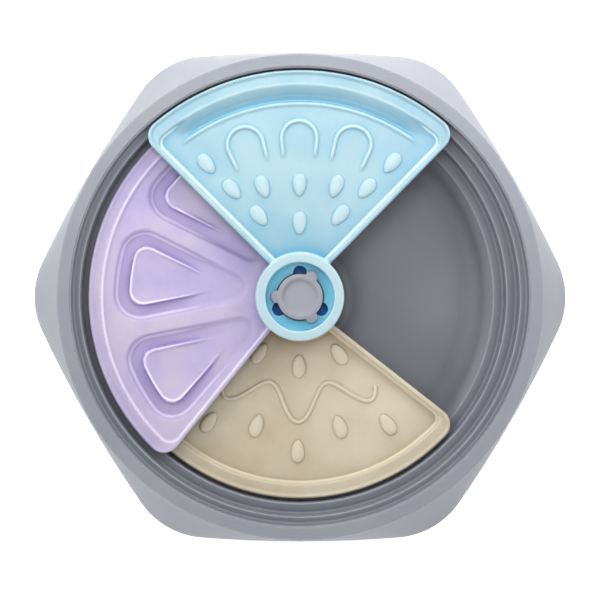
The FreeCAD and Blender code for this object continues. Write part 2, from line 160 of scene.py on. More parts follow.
def offset_loops(loop, offsets):
    """The loop moved inwards by each offset, along its own normals."""
    tangent = np.roll(loop, -1, 0) - np.roll(loop, 1, 0)
    tangent /= np.linalg.norm(tangent, axis=1)[:, None]
    area = np.sum(loop[:, 0] * np.roll(loop[:, 1], -1) - loop[:, 1] * np.roll(loop[:, 0], -1))
    normal = np.stack([-tangent[:, 1], tangent[:, 0]], 1) * (1 if area > 0 else -1)
    return [loop + normal * d for d in offsets]


def egg_loop(length, wide, taper, grow, steps=64):
    """Outline of a seed grown outwards by grow."""
    turn = np.linspace(0, TAU, steps, endpoint=False)
    side = (wide / 2 + grow) * np.sin(turn) * (1 + taper * np.cos(turn))
    return np.stack([(length / 2 + grow) * np.cos(turn), side], 1)


def place(loop, radius, degrees, lean=0.0):
    """The loop moved to polar (radius, degrees), turned to point outwards and by lean."""
    at, turn = math.radians(degrees), math.radians(degrees + lean)
    spin = np.array([[math.cos(turn), math.sin(turn)], [-math.sin(turn), math.cos(turn)]])
    return loop @ spin + radius * np.array([math.cos(at), math.sin(at)])


# ---- meshes ----
def make_object(name, verts, faces, painted_light=None, sharp=38):
    """Mesh object from millimetres, smooth shaded with its sharp edges marked.
    The given point share is painted light: 1 a highlight on relief, less a highlight along a tray's edge, 0
    none, -1 light in a hub's well."""
    mesh = bpy.data.meshes.new(name)
    mesh.from_pydata([tuple(v) for v in np.asarray(verts) * 0.001], [], faces)
    mesh.validate()
    mesh.update()
    mesh.polygons.foreach_set("use_smooth", [True] * len(mesh.polygons))
    mesh.set_sharp_from_angle(angle=math.radians(sharp))
    if painted_light is not None:
        mesh.attributes.new("painted_light", "FLOAT", "POINT").data.foreach_set("value", painted_light)
    obj = bpy.data.objects.new(name, mesh)
    bpy.context.scene.collection.objects.link(obj)
    return obj


ROW = 0.866                 # height of an equilateral triangle of side 1
CLEAR = 0.55                # grid points keep this share of the spacing away from the loops


def height_plate(outline, loops, inside, top, bottom, spacing):
    """Closed plate over an outline: every vertex has a top height and a bottom height.
    loops are closed or open runs of points that the triangles follow. Between them lies a grid of
    triangles, of which inside says what to keep."""
    points, edges = [], []

    def add(run, closed):
        start = len(points)
        points.extend(run.tolist())
        count = len(run)
        for i in range(count if closed else count - 1):
            edges.append((start + i, start + (i + 1) % count))

    add(outline, True)
    for run, closed in loops:
        add(run, closed)
    tree = kdtree.KDTree(len(points))
    for i, p in enumerate(points):
        tree.insert((p[0], p[1], 0), i)
    tree.balance()
    low, high = outline.min(0), outline.max(0)
    rows = int((high[1] - low[1]) / (spacing * ROW)) + 1
    columns = int((high[0] - low[0]) / spacing) + 1
    for row in range(rows):
        y = low[1] + row * spacing * ROW
        x = low[0] + (np.arange(columns) + 0.5 * (row % 2)) * spacing
        keep = inside(x, np.full_like(x, y))
        for value in x[keep]:
            if tree.find((value, y, 0))[2] > spacing * CLEAR:
                points.append([float(value), float(y)])
    vectors = [Vector(p) for p in points]
    keep_inside, same_point = 1, 1e-5
    out = delaunay_2d_cdt(vectors, edges, [list(range(len(outline)))], keep_inside, same_point)
    flat = np.array([tuple(v) for v in out[0]])
    triangles = [tuple(f) for f in out[2]]
    count = len(flat)
    x, y = flat[:, 0], flat[:, 1]
    upper = np.column_stack([flat, top(x, y)])
    lower = np.column_stack([flat, bottom(x, y)])
    faces = list(triangles)
    faces += [(c + count, b + count, a + count) for a, b, c in triangles]
    rim = {}
    for a, b, c in triangles:
        for i, j in ((a, b), (b, c), (c, a)):
            if (j, i) in rim:
                del rim[(j, i)]
            else:
                rim[(i, j)] = True
    faces += [(j, i, i + count, j + count) for i, j in rim]
    return np.concatenate([upper, lower]), faces


def bridge(loops, closed=True):
    """Quads between loops of equal length, the last joined to the first when closed."""
    count = len(loops[0])
    verts = np.concatenate(loops)
    faces = []
    runs = len(loops) if closed else len(loops) - 1
    for k in range(runs):
        a, b = k * count, ((k + 1) % len(loops)) * count
        for i in range(count):
            j = (i + 1) % count
            faces.append((a + i, b + i, b + j, a + j))
    return verts, faces


def join(parts):
    """One vertex list and face list from several."""
    verts, faces, start = [], [], 0
    for part_verts, part_faces in parts:
        verts.append(part_verts)
        faces += [tuple(i + start for i in f) for f in part_faces]
        start += len(part_verts)
    return np.concatenate(verts), faces


def turned(verts, degrees):
    """Vertices turned about Z."""
    cos, sin = math.cos(math.radians(degrees)), math.sin(math.radians(degrees))
    return verts @ np.array([[cos, sin, 0], [-sin, cos, 0], [0, 0, 1]])


# ---- hub of a cover ----
def hole_radius(turn):
    """Radius of the three-lobed hole in each direction, radians."""
    radius = np.full_like(turn, HUB_HOLE)
    for angle in LOBE_ANGLES:
        swing = (turn - math.radians(angle) + math.pi) % TAU - math.pi
        square = LOBE_R ** 2 - (LOBE_AT * np.sin(swing)) ** 2
        lobe = LOBE_AT * np.cos(swing) + np.sqrt(np.clip(square, 0, None))
        radius = np.where((square > 0) & (np.abs(swing) < 1), np.maximum(radius, lobe), radius)
    return radius


HUB_STEPS = 432
FLOOR_EDGE, FOOT_EDGE = 0.4, 0.3        # bevels round the hole and round the hub's foot
FLOOR_FILLET, HUB_ROUND = 1.6, 0.9      # fillet at the floor's rim, roundings of the ring's top


def hub(low, high, shift):
    """Hub ring with its floor and three-lobed hole, as one closed skin."""
    turn = np.linspace(0, TAU, HUB_STEPS, endpoint=False)
    hole = hole_radius(turn - math.radians(shift))
    floor = low + HUB_FLOOR
    profile = [(hole, low), (hole, floor - FLOOR_EDGE)]
    profile += [(hole + FLOOR_EDGE * 0.3, floor - FLOOR_EDGE * 0.3), (hole + FLOOR_EDGE, floor)]
    fillet = min(FLOOR_FILLET, (high - floor) * 0.5)
    for t in (0.3, 0.6, 0.9):
        profile.append((hole + FLOOR_EDGE + (HUB_BORE - fillet - hole - FLOOR_EDGE) * t, floor))
    for a in QUARTER:
        profile.append((HUB_BORE - fillet + fillet * math.sin(a), floor + fillet * (1 - math.cos(a))))
    edge = min(HUB_ROUND, (high - floor) * 0.3)
    for a in QUARTER:
        profile.append((HUB_BORE + edge * (1 - math.cos(a)), high - edge * (1 - math.sin(a))))
    for a in QUARTER:
        profile.append((HUB_R - edge * (1 - math.sin(a)), high - edge * (1 - math.cos(a))))
    profile += [(HUB_R, low + FOOT_EDGE), (HUB_R - FOOT_EDGE, low)]
    loops = []
    for radius, z in profile:
        radius = np.broadcast_to(radius, turn.shape)
        loops.append(np.column_stack([radius * np.cos(turn), radius * np.sin(turn), np.full_like(turn, z)]))
    return bridge(loops)


# ---- covers ----
INNER = 24.2                    # the tray runs this far into the hub's wall
TRAY_CORNER = CORNER - 3
TRAY_WALLS = (2.6, 2.6, 2.4)    # width of each tray's sloping wall
TRAY_START = 0.2                # the wall starts this far outside the tray's edge
OUTER_ROUND, LIP_SLOPE = 1.2, 2.0       # border's rounded edge, width of the step inside the lip
EDGE_BAND, HUB_BAND = 0.9, 0.6  # the grid keeps this far inside the outline and off the hub
POINT_STEP, GRID = 0.9, 1.15    # between points along an edge, and on open surface
TRAY_EDGE_HIGHLIGHT, TRAY_EDGE_HIGHLIGHT_HALF = 0.7, 0.9      # strength and half width of the painted highlight along the tray's edge

# distances from each edge at which the triangles follow it
OUTLINE_RUNS = (0.05, 0.16, 0.34, 0.6, 0.9, 1.25)
LIP_RUNS = (-0.95, -0.6, -0.3, 0.0, 0.35, 0.7, 1.0)
SEED_RUNS = (0.36, 0.2, 0.0, -0.25, -0.6, -1.1, -1.8)

SEED_HEIGHT, SEED_FOOT = 1.5, 0.1       # the foot is a share of the seed's half width


def border_height(x, y, level):
    """Height of border and tray wall at (x, y), 0 at the lip's top, and the distance inside the tray."""
    radius, half = COVER_RADII[level], COVER_HALVES[level]
    side = SIDE_SET + SIDE_LIP
    edge = -sector_sd(x, y, radius, half, SIDE_SET, CORNER)
    flange = -sector_sd(x, y, radius - LIP, half, side, CORNER - LIP)
    tray = -sector_sd(x, y, radius - FLANGE, half, side, TRAY_CORNER)
    height = -round_edge(edge, OUTER_ROUND)
    height -= LIP_H * ease((flange + LIP_SLOPE / 2) / LIP_SLOPE)
    height -= (TRAY_DEPTHS[level] - LIP_H) * ease((tray + TRAY_START) / TRAY_WALLS[level])
    return height, tray


def cover_plate(level, relief, loops):
    """Plate of a cover about +X, its triangles following its edges and the relief's loops."""
    top, radius, half = COVER_TOPS[level], COVER_RADII[level], COVER_HALVES[level]
    side = SIDE_SET + SIDE_LIP
    skirt, inset = RIM_TOP - LEDGE_DROP - PITCH * level + GAP, SKIRT_INSETS[level]
    outline = sector_loop(radius, half, SIDE_SET, CORNER, INNER, POINT_STEP)
    lip_edge = sector_loop(radius - LIP, half, side, CORNER - LIP, INNER + 1.4, POINT_STEP)
    tray_edge = sector_loop(radius - FLANGE, half, side, TRAY_CORNER, INNER + 1.5, POINT_STEP)
    tray_runs = np.linspace(-TRAY_START, TRAY_WALLS[level] - 0.1, 9)
    runs = []
    for edge, distances in ((outline, OUTLINE_RUNS), (lip_edge, LIP_RUNS), (tray_edge, tray_runs)):
        runs += [(run, True) for run in offset_loops(edge, distances)]
    runs += loops

    def inside(x, y):
        depth = -sector_sd(x, y, radius, half, SIDE_SET, CORNER)
        return (depth > EDGE_BAND) & (np.hypot(x, y) > INNER + HUB_BAND)

    def upper(x, y):
        return top + relief(x, y)

    def lower(x, y):
        base = top + relief(x, y, plain=True) - WALL
        edge = -sector_sd(x, y, radius - inset, half, SIDE_SET, CORNER - inset)
        wall = (edge > -0.01) & (edge < WALL)
        return np.where(wall, np.minimum(base, skirt), base)

    return height_plate(outline, runs, inside, upper, lower, GRID)


def plate_painted_light(x, y, level, relief, pale):
    """Share of painted light on the plate: 1 a highlight on its relief, less a highlight along the tray's
    edge, 0 elsewhere.
    """
    lift = relief(x, y) - relief(x, y, plain=True)
    # painted highlight along the tray's edge
    tray_edge_highlight = TRAY_EDGE_HIGHLIGHT * bead(border_height(x, y, level)[1], TRAY_EDGE_HIGHLIGHT_HALF)
    return np.maximum(ease((lift - pale[0]) / (pale[1] - pale[0])), tray_edge_highlight)


def hub_painted_light(verts, level):
    """Share of painted light on the hub: 1 a highlight on the top cover's ring, -1 light in the wells of
    the top and middle cover, and soft between them."""
    if level == 2:
        return np.zeros(len(verts))
    reach, z = np.hypot(verts[:, 0], verts[:, 1]), verts[:, 2]
    # painted light in the wells and a painted highlight on the top cover's ring
    well = ease((HUB_BORE + 0.4 - reach) / 0.5) * ease((TOP_HUB - 1 - z) / 3)
    ring = ease((z - COVER_TOPS[0] + 1) / 1.5) if level == 0 else 0
    return ring - well


def cover(name, level, relief, loops, pale):
    """Cover as one object: plate with relief, and hub.
    pale is the height of relief where its painted highlight starts and where it is full."""
    plate = cover_plate(level, relief, loops)
    top, centre = COVER_TOPS[level], COVER_CENTRES[level]
    ring_verts, ring_faces = hub(top - PITCH + GAP, TOP_HUB if level == 0 else top, LOBE_SHIFTS[level])
    ring = (turned(ring_verts, -centre), ring_faces)
    verts, faces = join([plate, ring])
    # share of painted light at each vertex
    tone = np.zeros(len(verts))
    count = len(plate[0]) // 2                  # the plate's upper half comes first
    tone[:count] = plate_painted_light(*plate[0][:count, :2].T, level, relief, pale)
    tone[2 * count:] = hub_painted_light(ring[0], level)
    return make_object(name, turned(verts, centre), faces, tone)


def seeds_height(x, y, seeds, size):
    """Height of a row of seeds, each (radius, direction, lean)."""
    total = np.zeros_like(x)
    for radius, degrees, lean in seeds:
        u, v = local(x, y, radius, degrees, lean)
        total = np.maximum(total, SEED_HEIGHT * rise(SEED_FOOT - egg_sd(u, v, *size) / (size[1] * 0.5)))
    return total


def seed_loops(seeds, size):
    """Loops round every seed for the triangles to follow."""
    runs = []
    for radius, degrees, lean in seeds:
        for grow in SEED_RUNS:
            runs.append((place(egg_loop(*size, grow), radius, degrees, lean), True))
    return runs


# melon: rind moat, three arches, rows of seeds
MELON_SEEDS = [(41.8, 0, 0), (63.5, 0, 0)]              # radius, direction, lean
MELON_PAIRS = ((51.5, 26.5, 12.0), (65.9, 18.4, 2.5), (72.1, 32.0, 9.0), (92.0, 34.8, 4.0))
for pair_r, pair_turn, pair_lean in MELON_PAIRS:
    MELON_SEEDS += [(pair_r, pair_turn, pair_lean), (pair_r, -pair_turn, -pair_lean)]
MELON_SEED = (12.8, 7.4, 0.2)                           # length, width, taper
ARCHES = ((-19.5, 91.4), (0.0, 89.8), (19.5, 91.4))     # direction, centre of the round end
ARCH_HALF, ARCH_END = 6.4, 79.0                         # half angle, radius where the legs end
ARCH_H, ARCH_WIDE = 1.2, 1.5                            # height and half width of the line
RIND_H, RIND_BACK, RIND_WIDE = 0.6, 1.2, 1.3            # the bead stands RIND_BACK inside RIND_R
MOAT_FOOT = 1.5                                         # from RIND_R to the moat's lowest line
MOAT_FADE, RIND_FADE = 7.5, 4.0                         # degrees over which they end at their sides


def arch_distance(x, y, degrees, at):
    """Distance to an arch's line: two radial legs and a round end."""
    turn, half = math.radians(degrees), math.radians(ARCH_HALF)
    u = x * math.cos(turn) + y * math.sin(turn)
    v = np.abs(-x * math.sin(turn) + y * math.cos(turn))
    along = u * math.cos(half) + v * math.sin(half)
    across = -u * math.sin(half) + v * math.cos(half)
    reach = at * math.cos(half)
    past = along - np.clip(along, ARCH_END, reach)
    legs = np.hypot(past, across)
    bow = np.abs(np.hypot(u - at, v) - at * math.sin(half))
    return np.where(along > reach, np.minimum(legs, bow), legs)


def arch_loop(degrees, at, offset):
    """Run of points along an arch, offset to its outside."""
    half = math.radians(ARCH_HALF)
    cos, sin = math.cos(half), math.sin(half)
    bow_r = at * sin + offset
    turn = np.linspace(math.pi / 2 + half, -math.pi / 2 - half, 44)
    bow = np.stack([at + bow_r * np.cos(turn), bow_r * np.sin(turn)], 1)
    leg = np.linspace(ARCH_END - 1, at * cos, 14)[:-1]
    upper = np.stack([leg * cos - offset * sin, leg * sin + offset * cos], 1)
    lower = upper[::-1] * [1, -1]
    return place(np.concatenate([upper, bow, lower]), 0, degrees)


def melon(x, y, plain=False):
    """Tray with a moat behind its rind, which falls steeply at the rind and climbs to the flange."""
    height, tray = border_height(x, y, 0)
    floor = -TRAY_DEPTHS[0]
    radius, turn = np.hypot(x, y), np.degrees(np.abs(np.arctan2(y, x)))
    edge = COVER_RADII[0] - FLANGE
    run = (radius - RIND_R - MOAT_FOOT) / (edge - RIND_R - MOAT_FOOT)
    climb = (MOAT_DEPTH - floor - LIP_H) * ease(run * 0.86 + 0.14) * np.clip(run * 3, 0.55, 1)
    foot = ease((radius - RIND_R + 0.5) / 1.7)
    moat = np.minimum(floor * (1 - foot) + (floor - MOAT_DEPTH + climb) * foot, -LIP_H)
    share = 1 - ease((turn - RIND_HALF + MOAT_FADE) / MOAT_FADE)
    inside = (tray > 0) & (radius > RIND_R - 0.6)
    height = np.where(inside, height * (1 - share) + moat * share, height)
    if plain:
        return height
    ends = 1 - ease((turn - RIND_HALF + RIND_FADE) / RIND_FADE)
    rind = RIND_H * bead(radius - RIND_R + RIND_BACK, RIND_WIDE) * ends
    height = height + np.where(tray > 0, rind, 0)
    arches = np.zeros_like(x)
    fade = ease((radius - ARCH_END + 1) / 6)
    for degrees, at in ARCHES:
        arches = np.maximum(arches, ARCH_H * bead(arch_distance(x, y, degrees, at), ARCH_WIDE) * fade)
    return height + arches + seeds_height(x, y, MELON_SEEDS, MELON_SEED)


MELON_LOOPS = seed_loops(MELON_SEEDS, MELON_SEED)
for arch_turn, arch_at in ARCHES:
    for offset in (-1.5, -1.0, -0.5, 0.0, 0.5, 1.0, 1.5):
        MELON_LOOPS.append((arch_loop(arch_turn, arch_at, offset), False))
for offset in (-2.5, -1.9, -1.2, -0.6, -0.2, 0.2, 0.6, 1.0, 1.5, 2.2, 3.2, 4.6, 6.2):
    MELON_LOOPS.append((arc(RIND_R + offset, -RIND_HALF, RIND_HALF, 1.0), False))

# citrus: three pockets, each with a tongue that rises outwards
SEGMENT_TURN, SEGMENT_RIB = 37.8, 3.9
SEGMENT_TURNS = (-SEGMENT_TURN, 0.0, SEGMENT_TURN)
POCKET = (0, 17.5, 6.5, 30.0, 106.2)            # inset, outer and inner corner, inner and outer radius
TONGUE = (8.2, 10.5, 2.0, 38.0, 106.0)
POCKET_DEPTH, POCKET_FALL, POCKET_WALL = 1.4, 2.0, 3.8      # depth at the inner end, further fall, wall
TONGUE_H, CREST_H, TONGUE_DISH = 2.2, 1.0, 0.5
FALL_RUN, RAMP_RUN, CREST_RUN = (34, 40), (46, 42), (54, 13)        # where each starts, and its length


def segment_sd(x, y, inset, corner_out, corner_in, low, high):
    """Signed distance to one citrus segment about +X."""
    half = SEGMENT_TURN / 2
    outer = sector_sd(x, y, high - inset, half, SEGMENT_RIB + inset, corner_out)
    turn = math.radians(half)
    a = (low + inset + corner_in) - x
    b = np.abs(y) * math.cos(turn) - x * math.sin(turn) + SEGMENT_RIB + inset + corner_in
    inner = np.where((a > 0) & (b > 0), np.hypot(a, b), np.maximum(a, b)) - corner_in
    return np.maximum(outer, inner)


def citrus(x, y, plain=False):
    """Pockets that deepen outwards, each with a tongue that rises to a rounded crest along its edge."""
    height = border_height(x, y, 1)[0]
    for at in SEGMENT_TURNS:
        u, v = local(x, y, 0, at)
        pocket = -segment_sd(u, v, *POCKET)
        fall = POCKET_DEPTH + POCKET_FALL * ease((u - FALL_RUN[0]) / FALL_RUN[1])
        height = height - fall * ease((pocket + 0.5) / POCKET_WALL)
        if plain:
            continue
        tongue = -segment_sd(u, v, *TONGUE)
        ramp = ease((u - RAMP_RUN[0]) / RAMP_RUN[1])
        height = height + TONGUE_H * ramp * ease((tongue + 0.2) / 1.4)
        crest = CREST_H * ease((u - CREST_RUN[0]) / CREST_RUN[1])
        height = height + crest * bead(tongue - 1.0, 1.3)
        height = height - TONGUE_DISH * ramp * ease((tongue - 1.6) / 7)
    return height


def segment_loop(inset, corner_out, corner_in, low, high):
    """Outline of a citrus segment, traced from its own corners."""
    half = SEGMENT_TURN / 2
    turn = math.radians(half)
    radius, rib = high - inset, SEGMENT_RIB + inset
    along = np.array([math.cos(turn), math.sin(turn)])
    out = np.array([-math.sin(turn), math.cos(turn)])
    reach = math.sqrt((radius - corner_out) ** 2 - (rib + corner_out) ** 2)
    centre = along * reach - out * (rib + corner_out)
    lean = math.degrees(math.atan2(centre[1], centre[0]))
    start_x = low + inset
    inner_y = (start_x + corner_in) * math.tan(turn) - (rib + corner_in) / math.cos(turn)
    inner = np.array([start_x + corner_in, max(inner_y, 0.05)])
    first = inner + arc(corner_in, 180, half + 90, 0.8)
    bend = centre + arc(corner_out, half + 90, lean, 0.9)
    gap = bend[0] - first[-1]
    steps = np.linspace(0, 1, max(3, int(np.linalg.norm(gap) / 1.0)))[1:-1, None]
    crest = arc(radius, lean, 0, 1.0)
    upper = np.concatenate([first, first[-1] + gap * steps, bend, crest[1:]])
    lower = upper[::-1][1:] * [1, -1]
    return np.concatenate([upper, lower])


CITRUS_LOOPS = []
for at in SEGMENT_TURNS:
    for run in offset_loops(segment_loop(*POCKET), (-0.5, -0.1, 0.4, 1.1, 1.9, 2.6, 3.2)):
        CITRUS_LOOPS.append((place(run, 0, at), True))
    for run in offset_loops(segment_loop(*TONGUE), (-0.3, 0.1, 0.5, 1.0, 1.5, 2.0, 2.6)):
        CITRUS_LOOPS.append((place(run, 0, at), True))

# berry: a waving line between seeds
BERRY_SEEDS = [(39.8, 0.0, 0.0), (88.5, 0.0, 0.0)]
for pair_r, pair_turn in ((39.8, 35.0), (78.0, 17.8), (88.8, 35.3)):
    BERRY_SEEDS += [(pair_r, pair_turn, 0.0), (pair_r, -pair_turn, 0.0)]
BERRY_SEED = (12.9, 7.1, 0.16)
WAVE_R, WAVE_SWING, WAVE_SHARP = 60.8, 10.1, 0.9
WAVE_PERIOD, WAVE_END = 35.7, 40.6              # degrees
WAVE_H, WAVE_WIDE = 1.0, 1.35                   # height and half width of the line
FAR = 9.0                                       # a distance well clear of the line


def wave_loop(offset):
    """Run of points along the waving line, offset to its left."""
    turn = np.linspace(-WAVE_END, WAVE_END, 150)
    phase = TAU * turn / WAVE_PERIOD
    radius = WAVE_R + WAVE_SWING * np.cos(phase) + WAVE_SHARP * np.cos(2 * phase)
    angle = np.radians(turn)
    line = np.stack([radius * np.cos(angle), radius * np.sin(angle)], 1)
    tangent = np.gradient(line, axis=0)
    tangent /= np.linalg.norm(tangent, axis=1)[:, None]
    return line + np.stack([-tangent[:, 1], tangent[:, 0]], 1) * offset


def berry(x, y, plain=False):
    """Tray with a waving line and seeds on its floor."""
    height = border_height(x, y, 2)[0]
    if plain:
        return height
    line = wave_loop(0.0)
    near = np.full(x.shape, FAR)
    radius = np.hypot(x, y)
    band = np.abs(radius - WAVE_R) < WAVE_SWING + 2.5
    spots = np.stack([x[band], y[band]], 1)
    if len(spots):
        start, step = line[:-1], line[1:] - line[:-1]
        gap = spots[:, None, :] - start[None]
        share = np.clip((gap * step).sum(2) / (step * step).sum(1), 0, 1)
        near[band] = np.sqrt(((gap - share[:, :, None] * step) ** 2).sum(2)).min(1)
    return height + WAVE_H * bead(near, WAVE_WIDE) + seeds_height(x, y, BERRY_SEEDS, BERRY_SEED)


BERRY_LOOPS = seed_loops(BERRY_SEEDS, BERRY_SEED)
for offset in (-1.35, -0.9, -0.45, 0.0, 0.45, 0.9, 1.35):
    BERRY_LOOPS.append((wave_loop(offset), False))


# ---- knob ----
KNOB_EDGE, FOOT_ROUND = 0.9, 0.3        # roundings of the knob's upper and lower edge
EAR_BLEND, EAR_DROP = 1.6, 0.55         # fillet beside an ear, and how far ears lie below the disc
DISH_RIM, DISH_DEPTH, CROWN = 11.2, 1.4, 0.15
# radius and depth down the dish's side
DISH_SLOPE = ((10.8, 0.03), (10.4, 0.14), (10.0, 0.34), (9.6, 0.64), (9.2, 0.94), (8.8, 1.18), (8.3, 1.34))
DISH_FLOOR = tuple((radius, DISH_DEPTH) for radius in (7.7, 5.0, 2.5, 1.0))


def knob():
    """Disc with a dished top and three ears that run out of its side."""
    turn = np.linspace(0, TAU, 360, endpoint=False)
    reach = np.full_like(turn, KNOB_R)
    near_ear = np.zeros_like(turn)
    for angle in EAR_ANGLES:
        swing = (turn - math.radians(angle) + math.pi) % TAU - math.pi
        square = EAR_R ** 2 - (EAR_AT * np.sin(swing)) ** 2
        ear = np.where(np.abs(swing) < 0.6, EAR_AT * np.cos(swing) + np.sqrt(np.clip(square, 0, None)), 0)
        ear = np.where(square > 0, ear, 0)
        gap = np.clip(0.5 + 0.5 * (ear - reach) / EAR_BLEND, 0, 1)
        reach = reach * (1 - gap) + ear * gap + EAR_BLEND * gap * (1 - gap)
        near_ear = np.maximum(near_ear, ease((reach - KNOB_R) / 2.0))
    loops = []

    def ring(radius, z):
        radius, z = np.broadcast_to(radius, turn.shape), np.broadcast_to(z, turn.shape)
        loops.append(np.column_stack([radius * np.cos(turn), radius * np.sin(turn), z]))

    ring(reach - FOOT_ROUND, KNOB_LOW)
    ring(reach, KNOB_LOW + FOOT_ROUND)
    side_top = KNOB_TOP - CROWN - EAR_DROP * near_ear
    for a in QUARTER:
        ring(reach - KNOB_EDGE * (1 - math.cos(a)), side_top - KNOB_EDGE + KNOB_EDGE * math.sin(a))
    for t in (0.2, 0.4, 0.6, 0.8, 1.0):
        ring((reach - KNOB_EDGE) * (1 - t) + DISH_RIM * t, side_top + (KNOB_TOP - side_top) * ease(t))
    for radius, depth in DISH_SLOPE + DISH_FLOOR:
        ring(radius, KNOB_TOP - depth)
    verts, faces = bridge(loops, closed=False)
    count, last = len(turn), (len(loops) - 1) * len(turn)
    verts = np.concatenate([verts, [[0, 0, KNOB_TOP - DISH_DEPTH]], [[0, 0, KNOB_LOW]]])
    top_point, low_point = len(verts) - 2, len(verts) - 1
    faces += [(last + i, top_point, last + (i + 1) % count) for i in range(count)]
    faces += [((i + 1) % count, low_point, i) for i in range(count)]
    return make_object("knob_moulding", verts, [f[::-1] for f in faces])


# ---- materials ----
def srgb(red, green, blue):
    """Linear colour from 0..255 display values."""
    values = [v / 255 for v in (red, green, blue)]
    return tuple(v / 12.92 if v <= 0.04045 else ((v + 0.055) / 1.055) ** 2.4 for v in values) + (1.0,)


# masks for painted light: painted shade in hollows, and a painted highlight on thin convex edges
PAINTED_HOLLOW_SHADE = (False, 0.018, 0.50, 0.99)         # inside, reach, occlusion at full and at no effect
THIN_EDGE_HIGHLIGHT = (True, 0.0014, 0.55, 0.90)
CLOUD_SCALE, BUMP_HEIGHT = 22.0, 0.0002


def occlusion(nodes, links, inside, reach, full, none):
    """1 in hollows of the surface or, inside, on its thin convex edges, and 0 elsewhere."""
    hollow = nodes.new("ShaderNodeAmbientOcclusion")
    hollow.only_local = True
    hollow.inside = inside
    hollow.samples = 8
    hollow.inputs["Distance"].default_value = reach
    amount = nodes.new("ShaderNodeMapRange")
    amount.inputs["From Min"].default_value = full
    amount.inputs["From Max"].default_value = none
    amount.inputs["To Min"].default_value = 1.0
    amount.inputs["To Max"].default_value = 0.0
    links.new(hollow.outputs["AO"], amount.inputs["Value"])
    return amount.outputs["Result"]


def mixed(nodes, links, tone, other, amount):
    """The tone with a constant other tone mixed in by amount."""
    mix = nodes.new("ShaderNodeMix")
    mix.data_type = "RGBA"
    mix.inputs["B"].default_value = other
    links.new(amount, mix.inputs["Factor"])
    links.new(tone, mix.inputs["A"])
    return mix.outputs["Result"]


def surface(name, colour, shade, rough, grain, bump, metal=0.0, soft=0.0, shine=0.5,
            hollow_shade=None, edge=None, well_light=None, high=None):
    """Moulded or metal surface: two close tones in soft clouds, uneven gloss and a fine grain.
    The hollow tone is a fuller tone painted into hollows as shade, the edge tone a painted highlight on
    thin rounded edges, the relief tone a painted highlight on raised relief, a tray's edge and the top hub
    ring, and the well tone painted light in a hub's well."""
    material = bpy.data.materials.new(name)
    material.use_nodes = True
    nodes, links = material.node_tree.nodes, material.node_tree.links
    shader = nodes["Principled BSDF"]
    shader.inputs["Metallic"].default_value = metal
    shader.inputs["IOR"].default_value = 1.5
    shader.inputs["Specular IOR Level"].default_value = shine
    if soft:
        shader.inputs["Subsurface Weight"].default_value = soft
        shader.inputs["Subsurface Radius"].default_value = (0.004, 0.004, 0.004)
        shader.inputs["Subsurface Scale"].default_value = 0.6
    place_at = nodes.new("ShaderNodeTexCoord")
    clouds = nodes.new("ShaderNodeTexNoise")
    clouds.inputs["Scale"].default_value = CLOUD_SCALE
    clouds.inputs["Detail"].default_value = 4.0
    clouds.inputs["Roughness"].default_value = 0.55
    links.new(place_at.outputs["Object"], clouds.inputs["Vector"])
    tones = nodes.new("ShaderNodeValToRGB")
    tones.color_ramp.elements[0].position = 0.32
    tones.color_ramp.elements[0].color = shade
    tones.color_ramp.elements[1].position = 0.62
    tones.color_ramp.elements[1].color = colour
    links.new(clouds.outputs["Fac"], tones.inputs["Fac"])
    tone = tones.outputs["Color"]
    if hollow_shade:
        # painted shade: the hollow tone mixed in where ambient occlusion finds a hollow
        tone = mixed(nodes, links, tone, hollow_shade, occlusion(nodes, links, *PAINTED_HOLLOW_SHADE))
    if high:
        # painted highlight from the point share on relief, tray edges and the top ring, and painted light
        # in hub wells
        painted_light = nodes.new("ShaderNodeAttribute")
        painted_light.attribute_name = "painted_light"
        well_light_share = nodes.new("ShaderNodeMath")
        well_light_share.operation = "MULTIPLY"
        well_light_share.inputs[1].default_value = -1.0
        links.new(painted_light.outputs["Fac"], well_light_share.inputs[0])
        tone = mixed(nodes, links, tone, high, painted_light.outputs["Fac"])
        tone = mixed(nodes, links, tone, well_light or high, well_light_share.outputs["Value"])
    if edge:
        # painted highlight: the edge tone on thin convex edges
        tone = mixed(nodes, links, tone, edge, occlusion(nodes, links, *THIN_EDGE_HIGHLIGHT))
    links.new(tone, shader.inputs["Base Color"])
    fine = nodes.new("ShaderNodeTexNoise")
    fine.inputs["Scale"].default_value = grain
    fine.inputs["Detail"].default_value = 3.0
    links.new(place_at.outputs["Object"], fine.inputs["Vector"])
    gloss = nodes.new("ShaderNodeMapRange")
    gloss.inputs["To Min"].default_value = rough - 0.05
    gloss.inputs["To Max"].default_value = rough + 0.06
    links.new(fine.outputs["Fac"], gloss.inputs["Value"])
    links.new(gloss.outputs["Result"], shader.inputs["Roughness"])
    texture = nodes.new("ShaderNodeBump")
    texture.inputs["Strength"].default_value = bump
    texture.inputs["Distance"].default_value = BUMP_HEIGHT
    links.new(fine.outputs["Fac"], texture.inputs["Height"])
    links.new(texture.outputs["Normal"], shader.inputs["Normal"])
    return material


GRAIN = 2600
